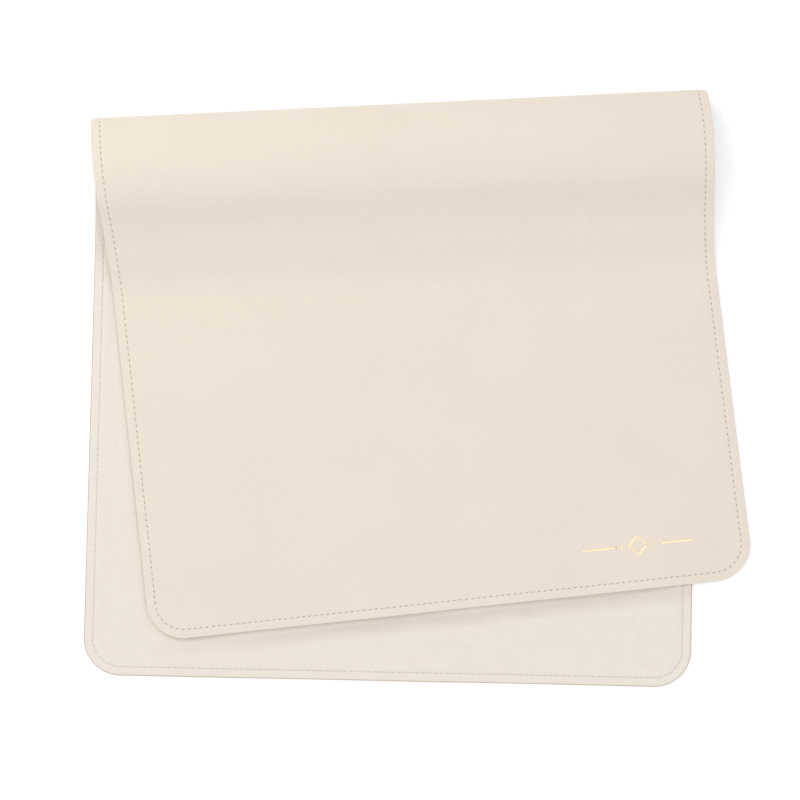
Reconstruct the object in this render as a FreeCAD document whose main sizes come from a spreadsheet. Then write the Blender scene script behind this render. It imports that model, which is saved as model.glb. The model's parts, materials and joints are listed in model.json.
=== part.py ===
"""Changing pad: one leather-faced, suede-lined mat, stitched all round and folded once.

Every sub-part is a PartDesign body. The flat pad is cut into two halves and a run of
narrow strips, which are joined edge to edge along parallel fold lines and then folded
about those lines, so that opening every fold line gives the flat pad again. The strips
between the halves form a closed chain, which has a wider gap at the line where it is opened.

Frames, in millimetres. A half's own frame has x across the pad and y along it, from the
middle of its fold line. A strip's own frame has x along its fold line and y across the
strip. In both, z runs through the thickness, from the leather's outer face to the lining.
"""

import FreeCAD, Part
import math
import os

import Sketcher

DIMENSIONS = (
    ("pad_width", 406.0, "width of the flat pad"),
    ("lower_length", 379.0, "free edge of the lower half to the first fold line, on the middle"),
    ("upper_length", 225.2, "last fold line to the free edge of the upper half, on the middle"),
    ("corner_radius", 25.0, "outer corners"),
    ("leather_thickness", 1.0, "face"),
    ("lining_thickness", 0.9, "suede backing"),
    ("fold_skew", 3.45, "degrees between the fold lines and the pad's width"),
    ("tip_pitch", 6.0, "fold line spacing round the tip of the loop"),
    ("tip_bend", 30.0, "degrees at each of those lines"),
    ("crest_pitch", 11.4, "fold line spacing over the crest"),
    ("crest_bend", 10.4, "degrees at each of those lines"),
    ("slope_length", 54.6, "straight slope between crest and landing"),
    ("landing_pitch", 12.6, "fold line spacing where the slope levels out"),
    ("landing_bend", 11.0, "degrees, the other way, at each of those lines"),
    ("seam_gap", 0.2, "clearance between neighbouring strips beyond what the bend needs"),
    ("open_gap", 1.0, "further clearance at the fold line where the two chains of strips meet"),
    ("stitch_margin", 6.0, "stitch line to the pad's edge"),
    ("groove_width", 0.9, "channel that the stitches pull into the faces"),
    ("groove_depth", 0.35, "depth of that channel"),
    ("thread_clearance", 0.05, "thread to the channel's sides and mouth"),
    ("foil_depth", 0.1, "stamped foil, flush with the face"),
    ("foil_edge", 75.0, "middle of the foil ornament to the pad's side edge"),
    ("foil_end", 30.0, "middle of the foil ornament to the pad's free edge"),
    ("foil_half_length", 38.0, "half of the ornament's length"),
    ("foil_stroke", 1.2, "width of its bars and of its diamond's outline"),
    ("foil_diamond", 6.5, "middle of the diamond to its points"),
    ("foil_dot", 1.0, "radius of the dots"),
    ("foil_dot_place", 10.5, "middle of the diamond to each dot"),
    ("foil_bar_start", 14.5, "middle of the diamond to the inner end of each bar"),
)
TIP_LINES = 5
CREST_LINES = 5
LANDING_LINES = 2
OPEN_LINE = TIP_LINES  # the strips before it hang on the lower half, the others on the upper
LEAST_GAP, MOST_GAP = 0.3, 0.45  # between the folded halves

doc = FreeCAD.newDocument("changing_pad")


# ---------------------------------------------------------------- driving dimensions


def make_sheet():
    sheet = doc.addObject("Spreadsheet::Sheet", "sizes")
    for row, (alias, value, note) in enumerate(DIMENSIONS, start=1):
        sheet.set(f"A{row}", alias)
        sheet.set(f"B{row}", str(value))
        sheet.setAlias(f"B{row}", alias)
        sheet.set(f"C{row}", note)
    doc.recompute()
    return sheet


sizes = make_sheet()
THICKNESS = "(sizes.leather_thickness + sizes.lining_thickness)"
COS_SKEW = "cos(sizes.fold_skew)"
TAN_SKEW = "tan(sizes.fold_skew)"


def value(expression):
    """The number that an expression over the sheet has now."""
    result = sizes.evalExpression(expression.replace("sizes.", ""))
    return float(getattr(result, "Value", result))


def fold_lines():
    """(distance from the first fold line, bend in degrees) of each line, as expressions."""
    lines = []
    for i in range(TIP_LINES):
        lines.append((f"({i} * sizes.tip_pitch)", "sizes.tip_bend"))
    place = f"({TIP_LINES - 0.5} * sizes.tip_pitch"
    for i in range(CREST_LINES):
        lines.append((f"{place} + {i + 0.5} * sizes.crest_pitch)", "sizes.crest_bend"))
    place += f" + {CREST_LINES - 0.5} * sizes.crest_pitch + sizes.slope_length"
    for i in range(LANDING_LINES):
        lines.append((f"{place} + {i} * sizes.landing_pitch)", "(-sizes.landing_bend)"))
    return lines


LINES = fold_lines()
# A half's free edge in y, its fold line's number and the side of that line that it lies on.
ENDS = {
    "lower": ("(-sizes.lower_length)", 0, "-"),
    "upper": ("sizes.upper_length", len(LINES) - 1, "+"),
}


def inset(line):
    """How far a piece stays back from a fold line, so that neighbours clear at the bend."""
    bend = LINES[line][1]
    gap = "(sizes.seam_gap + sizes.open_gap)" if line == OPEN_LINE else "sizes.seam_gap"
    return f"({THICKNESS} * tan(abs({bend}) / 2) + {gap} / 2)"


# ---------------------------------------------------------------- sketches and features


def new_body(label):
    body = doc.addObject("PartDesign::Body", label)
    body.Label = label
    body.AllowCompound = True
    return body


def new_sketch(body, name, height="0"):
    """A sketch on the body's own XY plane, moved up the body's z by height."""
    plane = next(f for f in body.Origin.OriginFeatures if f.Role == "XY_Plane")
    sketch = body.newObject("Sketcher::SketchObject", f"{name}_{body.Name}")
    sketch.AttachmentSupport = [(plane, "")]
    sketch.MapMode = "FlatFace"
    if height != "0":
        sketch.setExpression("AttachmentOffset.Base.z", height)
    return sketch


def bind(sketch, kind, geometry, point, expression):
    """Adds a dimension from the sketch's origin, or a radius, and binds it to the sheet."""
    start = value(expression)
    if point is None:
        index = sketch.addConstraint(Sketcher.Constraint(kind, geometry, start))
    else:
        index = sketch.addConstraint(Sketcher.Constraint(kind, geometry, point, start))
    sketch.setExpression(f"Constraints[{index}]", expression)


def draw_outline(sketch, corners):
    """A closed outline of straight sides through corners, each (x, y)."""
    spots = [FreeCAD.Vector(value(x), value(y), 0) for x, y in corners]
    sides = [
        sketch.addGeometry(Part.LineSegment(begin, finish), False)
        for begin, finish in zip(spots, spots[1:] + spots[:1])
    ]
    for i, (x, y) in enumerate(corners):
        sketch.addConstraint(Sketcher.Constraint("Coincident", sides[i - 1], 2, sides[i], 1))
        bind(sketch, "DistanceX", sides[i], 1, x)
        bind(sketch, "DistanceY", sides[i], 1, y)


def draw_circle(sketch, x, y, radius):
    centre = FreeCAD.Vector(value(x), value(y), 0)
    circle = Part.Circle(centre, FreeCAD.Vector(0, 0, 1), value(radius))
    index = sketch.addGeometry(circle, False)
    bind(sketch, "DistanceX", index, 3, x)
    bind(sketch, "DistanceY", index, 3, y)
    bind(sketch, "Radius", index, None, radius)


def pad(body, sketch, length):
    feature = body.newObject("PartDesign::Pad", f"pad_{body.Name}")
    feature.Profile = sketch
    feature.setExpression("Length", length)
    body.Tip = feature


def pocket(body, sketch, depth, upwards):
    """Cuts from the sketch down the body's z, or up it where upwards is true."""
    doc.recompute()
    before = body.Shape.Volume
    feature = body.newObject("PartDesign::Pocket", f"pocket_{sketch.Name}")
    feature.Profile = sketch
    feature.Reversed = upwards
    feature.setExpression("Length", depth)
    body.Tip = feature
    doc.recompute()
    if not body.Shape.Volume < before - 0.1:
        raise RuntimeError(f"{feature.Name} cut nothing")


def round_corners(body, corners, radius):
    """Rounds the body's edges that run along z through those corners, each (x, y)."""
    doc.recompute()
    base = body.Tip
    spots = [(value(x), value(y)) for x, y in corners]
    edges = [
        f"Edge{number}"
        for number, edge in enumerate(base.Shape.Edges, start=1)
        if any(stands_at(edge, x, y) for x, y in spots)
    ]
    if len(edges) != len(corners):
        raise RuntimeError(f"{body.Name} has {len(edges)} edges at {len(corners)} corners")
    feature = body.newObject("PartDesign::Fillet", f"round_{body.Name}")
    feature.Base = (base, edges)
    feature.setExpression("Radius", radius)
    body.Tip = feature


def stands_at(edge, x, y):
    return all(math.hypot(v.X - x, v.Y - y) < 1e-4 for v in edge.Vertexes)


# ---------------------------------------------------------------- outlines


def half_corners(piece, offset):
    """A half's outline, moved in from its sides and free edge by offset.

    The order is fold line, free edge, free edge, fold line, so the middle two are the round
    corners.
    """
    end, line, side = ENDS[piece]
    x = f"(sizes.pad_width / 2 - {offset})"
    y = f"({end} {'+' if side == '-' else '-'} {offset})"
    back = f"{side} {inset(line)} / {COS_SKEW}"
    return [
        (f"(-{x})", f"(-{x} * {TAN_SKEW} {back})"),
        (f"(-{x})", y),
        (x, y),
        (x, f"({x} * {TAN_SKEW} {back})"),
    ]


def strip_corners(strip, low_x, high_x):
    """A strip's outline between two lines that run along the pad at low_x and high_x."""
    start, finish = LINES[strip][0], LINES[strip + 1][0]
    near = inset(strip)
    far = f"({finish} - {start} - {inset(strip + 1)})"

    def corner(across, y):
        return f"({across} / {COS_SKEW} + ({start} + {y}) * {TAN_SKEW})", y

    return [
        corner(low_x, near),
        corner(high_x, near),
        corner(high_x, far),
        corner(low_x, far),
    ]


def draw_channel(sketch, piece, half_width):
    """The stitch channel: once round a half's free sides, or along both ends of a strip."""
    if piece in ENDS:
        outside = half_corners(piece, f"(sizes.stitch_margin - {half_width})")
        inside = half_corners(piece, f"(sizes.stitch_margin + {half_width})")
        draw_outline(sketch, outside + inside[::-1])
        return
    edge = "(sizes.pad_width / 2 - sizes.stitch_margin)"
    for middle in (f"(-{edge})", edge):
        low_x = f"({middle} - {half_width})"
        high_x = f"({middle} + {half_width})"
        draw_outline(sketch, strip_corners(piece, low_x, high_x))


def round_channel(body, piece, half_width):
    if piece in ENDS:
        for sign in ("-", "+"):
            offset = f"(sizes.stitch_margin {sign} {half_width})"
            round_corners(body, half_corners(piece, offset)[1:3], f"sizes.corner_radius - {offset}")


def draw_piece(sketch, piece):
    if piece in ENDS:
        draw_outline(sketch, half_corners(piece, "0"))
        return
    low_x, high_x = "(-sizes.pad_width / 2)", "(sizes.pad_width / 2)"
    draw_outline(sketch, strip_corners(piece, low_x, high_x))


def name_of(piece):
    return piece if piece in ENDS else f"fold_{piece + 1:02d}"


# ---------------------------------------------------------------- sub-parts


def layer(label, piece, bottom, thickness, groove_height, groove_upwards):
    """One of the two sheets, with the channel that its stitches lie in."""
    body = new_body(f"{label}_{name_of(piece)}")
    sketch = new_sketch(body, "outline", bottom)
    draw_piece(sketch, piece)
    pad(body, sketch, thickness)
    groove = new_sketch(body, "groove", groove_height)
    draw_channel(groove, piece, "sizes.groove_width / 2")
    pocket(body, groove, "sizes.groove_depth", groove_upwards)
    round_channel(body, piece, "sizes.groove_width / 2")
    if piece in ENDS:
        round_corners(body, half_corners(piece, "0")[1:3], "sizes.corner_radius")
    return body


def face_leather(piece):
    body = layer("face_leather", piece, "0", "sizes.leather_thickness", "0", True)
    if piece == "upper":
        stamp = new_sketch(body, "stamp")
        draw_ornament(stamp)
        pocket(body, stamp, "sizes.foil_depth", True)
    return body


def suede_lining(piece):
    return layer(
        "suede_lining", piece, "sizes.leather_thickness", "sizes.lining_thickness", THICKNESS, False
    )


def thread(piece, kind):
    """The needle thread lies in the leather's channel and the bobbin thread in the lining's."""
    body = new_body(f"{kind}_thread_{name_of(piece)}")
    bottom = "sizes.thread_clearance"
    if kind == "bobbin":
        bottom = f"({THICKNESS} - sizes.groove_depth)"
    half_width = "(sizes.groove_width / 2 - sizes.thread_clearance)"
    sketch = new_sketch(body, "strand", bottom)
    draw_channel(sketch, piece, half_width)
    pad(body, sketch, "(sizes.groove_depth - sizes.thread_clearance)")
    round_channel(body, piece, half_width)
    return body


def draw_ornament(sketch):
    """An open diamond between two dots and two pointed bars, along the pad's free edge."""
    middle_x = "(sizes.pad_width / 2 - sizes.foil_edge)"
    middle_y = "(sizes.upper_length - sizes.foil_end)"
    draw_diamond(sketch, middle_x, middle_y, "sizes.foil_diamond")
    draw_diamond(sketch, middle_x, middle_y, "(sizes.foil_diamond - 1.5 * sizes.foil_stroke)")
    for sign in ("-", "+"):
        draw_circle(sketch, f"({middle_x} {sign} sizes.foil_dot_place)", middle_y, "sizes.foil_dot")
        near = f"({middle_x} {sign} sizes.foil_bar_start)"
        far = f"({middle_x} {sign} sizes.foil_half_length)"
        draw_outline(sketch, [
            (near, f"({middle_y} - sizes.foil_stroke / 2)"),
            (far, middle_y),
            (near, f"({middle_y} + sizes.foil_stroke / 2)"),
        ])


def draw_diamond(sketch, x, y, reach):
    draw_outline(sketch, [
        (f"({x} - {reach})", y),
        (x, f"({y} - {reach})"),
        (f"({x} + {reach})", y),
        (x, f"({y} + {reach})"),
    ])


def foil_mark():
    body = new_body("foil_mark")
    sketch = new_sketch(body, "ornament")
    draw_ornament(sketch)
    pad(body, sketch, "sizes.foil_depth")
    return body


# ---------------------------------------------------------------- folding


def fold_frames():
    """The folded frame of the lower half, of each strip and of the upper half, and the hinges.

    A hinge is a point on its axis and the axis, both as they lie in the folded pad. A line
    that bends towards the lining turns about the leather's outer face, and a line that bends
    the other way turns about the lining's face, so opening it never squeezes the edges.
    """
    across = FreeCAD.Vector(1, 0, 0)
    up = FreeCAD.Vector(0, 0, 1)
    skew = value("sizes.fold_skew")
    frame = FreeCAD.Placement(FreeCAD.Vector(), FreeCAD.Rotation(up, skew))
    frames = {"lower": FreeCAD.Placement()}
    hinges = []
    for i, (place, bend) in enumerate(LINES):
        angle = value(bend)
        pivot = FreeCAD.Vector(0, 0, 0 if angle > 0 else value(THICKNESS))
        hinges.append((frame.multVec(pivot), frame.Rotation.multVec(across), angle))
        turn = FreeCAD.Placement(FreeCAD.Vector(), FreeCAD.Rotation(across, angle), pivot)
        frame = frame.multiply(turn)
        if i + 1 < len(LINES):
            frames[i] = frame
            step = value(LINES[i + 1][0]) - value(place)
            along = FreeCAD.Placement(FreeCAD.Vector(0, step, 0), FreeCAD.Rotation())
            frame = frame.multiply(along)
    slide = FreeCAD.Vector(value(LINES[-1][0]) * math.tan(math.radians(skew)), 0, 0)
    frames["upper"] = frame.multiply(FreeCAD.Placement(slide, FreeCAD.Rotation(up, -skew)))
    return frames, hinges


def middle_of(bodies):
    """The bottom centre of everything's box."""
    box = FreeCAD.BoundBox()
    for body in bodies:
        box.add(body.Shape.optimalBoundingBox(False))
    return FreeCAD.Vector(box.Center.x, box.Center.y, box.ZMin)


def check(bodies):
    for item in doc.Objects:
        if "Invalid" in item.State or "Error" in item.State:
            raise RuntimeError(f"{item.Name} failed: {item.State}")
    for body in bodies:
        if body.Shape.isNull() or not body.Shape.isValid() or not body.Shape.Solids:
            raise RuntimeError(f"{body.Label} has no valid solid")


def check_gap(frames):
    """The upper half lies level on the lower one, with only a small gap between them."""
    top = value(THICKNESS)
    corners = [
        frames["upper"].multVec(FreeCAD.Vector(x, y, top)).z - top
        for x in (-value("sizes.pad_width") / 2, value("sizes.pad_width") / 2)
        for y in (0, value("sizes.upper_length"))
    ]
    print("gap between the halves:", [round(c, 3) for c in corners])
    if min(corners) < LEAST_GAP or max(corners) > MOST_GAP:
        raise RuntimeError("the upper half doesn't lie on the lower one")


def build():
    """Every sub-part, folded and with the origin at the bottom centre of the box."""
    pieces = ["lower", *range(len(LINES) - 1), "upper"]
    frames, hinges = fold_frames()
    check_gap(frames)
    bodies = []
    for piece in pieces:
        made = [
            face_leather(piece),
            suede_lining(piece),
            thread(piece, "needle"),
            thread(piece, "bobbin"),
        ]
        if piece == "upper":
            made.append(foil_mark())
        for body in made:
            body.Placement = frames[piece]
        bodies += made
    doc.recompute()
    origin = middle_of(bodies)
    for body in bodies:
        body.Placement.Base = body.Placement.Base - origin
    doc.recompute()
    hinges = [(point - origin, axis, bend) for point, axis, bend in hinges]
    return bodies, hinges


def main():
    bodies, hinges = build()
    check(bodies)
    os.makedirs("parts", exist_ok=True)
    for body in bodies:
        body.Shape.exportStep(f"parts/{body.Label}.step")
    print(len(bodies), "sub-parts")
    return bodies, hinges


if __name__ == "__main__":
    main()
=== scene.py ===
"""Looks of a folded changing pad: pebbled leather face, suede lining, topstitching, foil ornament.

The pad is laid out flat first, in u across it and v along it from the lower free edge, with
a depth from the leather's outer face to the lining's. One function then folds any flat
point round the frame's fold lines, so every layer, stitch and ornament follows one shape.
Lengths are in metres.
"""

import json
import math

import bpy
import numpy as np
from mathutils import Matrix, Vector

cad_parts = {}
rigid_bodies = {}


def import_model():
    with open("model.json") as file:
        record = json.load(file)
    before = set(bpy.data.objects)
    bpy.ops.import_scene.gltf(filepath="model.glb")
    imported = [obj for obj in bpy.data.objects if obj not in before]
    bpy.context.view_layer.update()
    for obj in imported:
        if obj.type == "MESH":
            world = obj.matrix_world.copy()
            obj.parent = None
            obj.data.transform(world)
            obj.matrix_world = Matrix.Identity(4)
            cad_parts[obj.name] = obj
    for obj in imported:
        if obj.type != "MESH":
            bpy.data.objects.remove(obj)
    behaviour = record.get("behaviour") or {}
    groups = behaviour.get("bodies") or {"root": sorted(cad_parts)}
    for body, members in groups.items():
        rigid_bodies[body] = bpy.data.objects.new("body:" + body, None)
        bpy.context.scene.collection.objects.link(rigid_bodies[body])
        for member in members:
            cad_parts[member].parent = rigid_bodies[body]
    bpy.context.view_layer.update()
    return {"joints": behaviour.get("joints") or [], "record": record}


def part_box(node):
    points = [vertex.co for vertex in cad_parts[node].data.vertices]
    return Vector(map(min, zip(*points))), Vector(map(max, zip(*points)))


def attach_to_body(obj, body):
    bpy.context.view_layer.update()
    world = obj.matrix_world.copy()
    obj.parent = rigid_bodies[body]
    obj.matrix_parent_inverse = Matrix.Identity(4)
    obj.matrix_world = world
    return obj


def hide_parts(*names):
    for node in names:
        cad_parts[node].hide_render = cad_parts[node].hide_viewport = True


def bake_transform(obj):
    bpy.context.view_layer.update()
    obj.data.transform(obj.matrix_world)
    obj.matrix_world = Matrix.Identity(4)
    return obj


MM = 0.001

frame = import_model()
JOINTS = frame["joints"]
BODIES = list(frame["record"]["behaviour"]["bodies"])

# ---------------------------------------------------------------- sizes of the flat pad

LEATHER_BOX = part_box("face_leather_lower")
LINING_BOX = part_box("suede_lining_lower")
HALF_WIDTH = (LEATHER_BOX[1].x - LEATHER_BOX[0].x) / 2
SEAM = LEATHER_BOX[1].z  # depth of the leather's back
THICKNESS = LINING_BOX[1].z  # depth of the lining's face
CORNER = 25 * MM
STITCH_INSET = 6 * MM
STITCH_PITCH = 4.05 * MM
UPPER_LENGTH = 225.2 * MM  # last fold line to the upper free edge, on the middle

# ---------------------------------------------------------------- the fold

MAIN = next(joint for joint in JOINTS if joint["name"] == "unfold")
FOLDS = {int(joint["name"][-2:]): joint for joint in JOINTS if joint is not MAIN}
LINE_COUNT = len(BODIES) - 1
OPENED = next(k for k in range(1, LINE_COUNT + 1) if k not in FOLDS)  # it has no joint
FIRST = np.array(FOLDS[1]["pos_m"])  # first fold line, on the pad's middle
ALONG = -np.array(MAIN["axis"][:2])  # unit, with the fold lines, towards +X
ACROSS = np.array([-ALONG[1], ALONG[0]])  # unit, from the lower half towards the fold
SKEW_TAN = ALONG[1] / ALONG[0]
SKEW_COS = ALONG[0]
LOWER_LENGTH = FIRST[1] - LEATHER_BOX[0].y


def heading_way(angle):
    """Unit vector in the plane across the fold, for a sheet that runs at this angle."""
    return np.stack([np.cos(angle), np.sin(angle)], axis=-1)


def heading_up(angle):
    """Unit vector from the leather to the lining of a sheet that runs at this angle."""
    return np.stack([-np.sin(angle), np.cos(angle)], axis=-1)


def bend_of(joint):
    """Bend of a fold line at rest, positive where the pad bends towards its lining."""
    forwards = BODIES.index(joint["child"]) > BODIES.index(joint["parent"])
    alike = np.dot(joint["axis"], MAIN["axis"]) > 0
    return math.radians(joint["range_deg"][1]) * (1 if forwards == alike else -1)


def read_fold_lines():
    """Pivot, bend and flat place of each fold line, in the plane across them."""
    bends = {k: bend_of(joint) for k, joint in FOLDS.items()}
    bends[OPENED] = math.radians(MAIN["range_deg"][1]) - sum(bends.values())
    pivots = {}
    for k, joint in FOLDS.items():
        offset = np.array(joint["pos_m"]) - FIRST
        pivots[k] = np.array([offset[:2] @ ACROSS, offset[2]])
    heading = sum(bends[k] for k in range(1, OPENED + 1))
    pitch = np.linalg.norm(pivots[OPENED + 2] - pivots[OPENED + 1])
    pivots[OPENED] = pivots[OPENED + 1] - pitch * heading_way(heading)
    lines, heading, place = [], 0.0, 0.0
    for k in range(1, LINE_COUNT + 1):
        if lines:
            place += float((pivots[k] - lines[-1]["pivot"]) @ heading_way(heading))
        depth = 0.0 if bends[k] > 0 else THICKNESS
        line = dict(pivot=pivots[k], bend=bends[k], before=heading, place=place, depth=depth)
        lines.append(line)
        heading += bends[k]
    return lines


def reach_of(lines, line):
    """Half of the spacing to a line that bends alike: how far the arc goes each way."""
    alike = [other for other in lines if abs(other["bend"] - line["bend"]) < 1e-6]
    return min(abs(other["place"] - line["place"]) for other in alike if other is not line) / 2


LINES = read_fold_lines()
for fold_line in LINES:
    fold_line["reach"] = reach_of(LINES, fold_line)
SLOPE_START, SLOPE_END = LINES[9], LINES[10]  # the pad runs down from its loop between these


def cut_places():
    """Flat places where the pad's visible pieces meet, one before, between and after lines."""
    starts = [line["place"] - line["reach"] for line in LINES]
    ends = [line["place"] + line["reach"] for line in LINES]
    middles = [(end + start) / 2 for end, start in zip(ends, starts[1:])]
    return sorted([starts[0], *middles, ends[-1], LINES[OPENED - 1]["place"]])


def list_sections():
    """Name and two bodies of each visible piece, from the lower free edge to the upper one."""
    sections = [("lower", 0, 0)]
    for k in range(1, LINE_COUNT + 1):
        if k == OPENED:
            sections += [(f"fold_{k:02d}_near", k - 1, k - 1), (f"fold_{k:02d}_far", k, k)]
        else:
            sections.append((f"fold_{k:02d}", k - 1, k))
    return [*sections, ("upper", LINE_COUNT, LINE_COUNT)]


CUTS = cut_places()
SECTIONS = list_sections()
LENGTH = LOWER_LENGTH + LINES[-1]["place"] / SKEW_COS + UPPER_LENGTH


def across_of(u, v):
    """Flat distance beyond the first fold line."""
    return u * ACROSS[0] + (v - LOWER_LENGTH) * ACROSS[1]


def v_at(place, u):
    """v of the flat line that lies at this place beyond the first fold line."""
    return LOWER_LENGTH + place / SKEW_COS + u * SKEW_TAN


def folded(u, v, depth):
    """Rest places in the row frame of points of the flat pad."""
    along = u * ALONG[0] + (v - LOWER_LENGTH) * ALONG[1]
    across = across_of(u, v)
    point = np.stack([across, depth], axis=-1)
    for line in LINES:
        bend, reach, before = line["bend"], line["reach"], line["before"]
        from_start = across - line["place"] + reach
        share = np.clip(from_start / (2 * reach), 0, 1)
        radius = reach / math.tan(bend / 2)
        start = line["pivot"] - reach * heading_way(before)
        centre = start + radius * heading_up(before)
        angle = before + bend * share
        inner = (radius - (depth - line["depth"]))[..., None]
        beyond = np.maximum(from_start - 2 * reach, 0)[..., None]
        turned = centre - inner * heading_up(angle) + beyond * heading_way(angle)
        point = np.where((from_start >= 0)[..., None], turned, point)
    flat = FIRST[:2] + along[..., None] * ALONG + point[..., :1] * ACROSS
    return np.concatenate([flat, point[..., 1:] + FIRST[2]], axis=-1)


# ---------------------------------------------------------------- how the pad lies


def smooth(low, high, value):
    """0 below low, 1 above high, and a smooth rise between."""
    share = np.clip((value - low) / (high - low), 0, 1)
    return share * share * (3 - 2 * share)


def bump(centre, width, value):
    """1 at the centre, with a bell-shaped fall to 0 either side."""
    return np.exp(-(((value - centre) / width) ** 2))


def edge_distance(u, v):
    """Distance in from the nearest straight edge."""
    return np.minimum(HALF_WIDTH - np.abs(u), np.minimum(v, LENGTH - v))


FREE_EDGE = 45 * MM  # v on the lining of the upper half's free edge, at u = 0
FREE_EDGE_SLOPE = 0.131  # and how that v rises with u


def rumples(u, v):
    """Low soft folds of the lower half, pushed up just outside the upper half's free edge."""
    outside = FREE_EDGE + FREE_EDGE_SLOPE * u - v
    first = bump((10 + 1.5 * np.sin(u / (17 * MM))) * MM, 3.0 * MM, outside)
    second = bump((19 + 2.0 * np.sin(u / (29 * MM) + 1)) * MM, 4.0 * MM, outside)
    inside = smooth(4 * MM, 14 * MM, edge_distance(u, v))
    right = smooth(0, 110 * MM, u)
    left = bump(-70 * MM, 50 * MM, u)
    return inside * MM * (first * (0.95 * right + 0.35 * left) + 0.65 * second * right)


def lower_lift(u, v):
    """Lift of the lower half: curled corners, free edges that ripple a little, and rumples."""
    to_right = np.hypot(HALF_WIDTH - u, v)
    to_left = np.hypot(HALF_WIDTH + u, v)
    curl = 2.4 * MM * np.clip(1 - to_right / (62 * MM), 0, 1) ** 2
    curl = curl + 0.9 * MM * np.clip(1 - to_left / (48 * MM), 0, 1) ** 2
    ripple = 0.5 + 0.5 * np.sin(math.tau * (u - 0.4 * v) / (128 * MM) + 0.6)
    near = np.clip(1 - edge_distance(u, v) / (46 * MM), 0, 1) ** 2
    free = 1 - smooth(190 * MM, 330 * MM, v)
    return (curl + 0.55 * MM * ripple * near) * free + rumples(u, v)


def upper_drop(u, v):
    """Depth that the upper half and the slope sink by, towards the lining."""
    across = across_of(u, v)
    crest_end, landing = SLOPE_START["place"], SLOPE_END["place"]
    down_slope = np.clip((across - crest_end) / (landing - crest_end), 0, 1)
    sag = 1.5 * MM * np.sin(math.pi * down_slope) ** 2
    on_top = smooth(landing, landing + 60 * MM, across)
    wave = 0.5 + 0.5 * np.sin(math.tau * (u + 0.35 * v) / (150 * MM) - 1.1)
    near = np.clip(1 - (LENGTH - v) / (60 * MM), 0, 1) ** 2
    swell = 0.5 + 0.25 * np.sin(math.tau * (0.8 * u - v) / (117 * MM))
    swell = swell + 0.25 * np.sin(math.tau * (u + 0.7 * v) / (83 * MM) + 2.0)
    row_x = folded(u, v, np.zeros_like(u))[..., 0]
    outside = smooth(0, 30 * MM, row_x - LEATHER_BOX[1].x - 3 * MM)
    return sag + on_top * (-0.7 * MM * wave * near - 0.3 * MM * swell + 1.5 * MM * outside)


def lie(u, v):
    """Depth offset that both layers share at rest."""
    return lower_lift(u, v) + upper_drop(u, v)


PULLS = (  # place across the fold, and the pull along X there at the left and right edge
    (-LOWER_LENGTH, -1.7 * MM, 0.9 * MM),
    (-57 * MM, 3.2 * MM, 2.5 * MM),
    (LINES[5]["place"], 0.8 * MM, 3.2 * MM),
    (SLOPE_END["place"], 0.8 * MM, -2.0 * MM),
    (LINES[-1]["place"] + UPPER_LENGTH, 0.2 * MM, 2.2 * MM),
)
PULL_SHIFTS = np.linspace(-20 * MM, 20 * MM, 5)  # the pull is the mean over these, to smooth it


def pull(u, v):
    """In-plane offset at rest: the soft pad doesn't lie quite square."""
    across, to_right = across_of(u, v), (u / HALF_WIDTH + 1) / 2
    stations, left, right = np.array(PULLS).T
    aside = np.zeros_like(across)
    for shift in PULL_SHIFTS:
        at_left = np.interp(across + shift, stations, left)
        at_right = np.interp(across + shift, stations, right)
        aside += (at_left + (at_right - at_left) * to_right) / len(PULL_SHIFTS)
    lower = np.clip(1 - v / LOWER_LENGTH, 0, 1)
    upper = np.clip(1 - (LENGTH - v) / UPPER_LENGTH, 0, 1)
    ahead = lower * (2.7 - 3.2 * to_right) * MM + upper * 3.0 * MM
    return np.stack([aside, ahead, np.zeros_like(across)], axis=-1)


def place_on_pad(u, v, depth):
    """Rest places of points of the flat pad, as the soft pad really lies."""
    return folded(u, v, depth + lie(u, v)) + pull(u, v)


# ---------------------------------------------------------------- outline and flat layout

ACROSS_EDGE = 2 * (HALF_WIDTH - CORNER)
ALONG_EDGE = LENGTH - 2 * CORNER
CORNER_RUN = (CORNER - STITCH_INSET) * math.pi / 2
SIDES = (  # start, direction and length of each straight edge, anticlockwise
    ((CORNER - HALF_WIDTH, 0.0), (1, 0), ACROSS_EDGE),
    ((HALF_WIDTH, CORNER), (0, 1), ALONG_EDGE),
    ((HALF_WIDTH - CORNER, LENGTH), (-1, 0), ACROSS_EDGE),
    ((-HALF_WIDTH, LENGTH - CORNER), (0, -1), ALONG_EDGE),
)
AROUND = 2 * (ACROSS_EDGE + ALONG_EDGE) + 4 * CORNER_RUN
STITCHES = round(AROUND / STITCH_PITCH)
PITCH = AROUND / STITCHES
HOLE_REACH = 0.88 * MM  # from a needle hole's middle to its rim, along the seam
HOLE_WIDTH = 0.45 * MM  # from its middle to its rim, across the seam
HOLE_DEPTH = 0.45 * MM
RIGHT_START = ACROSS_EDGE + CORNER_RUN  # t where each straight edge starts, from the lower one's 0
TOP_START = RIGHT_START + ALONG_EDGE + CORNER_RUN
LEFT_START = TOP_START + ACROSS_EDGE + CORNER_RUN


def row_slope(side, v):
    """Slope of the layout's rows at a side: level at the corners, skewed at the fold."""
    u = side * (HALF_WIDTH - STITCH_INSET)
    rising = (v - CORNER) / (v_at(CUTS[0], u) - CORNER)
    falling = (LENGTH - CORNER - v) / (LENGTH - CORNER - v_at(CUTS[-1], u))
    return SKEW_TAN * np.clip(np.minimum(rising, falling), 0, 1)


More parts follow.
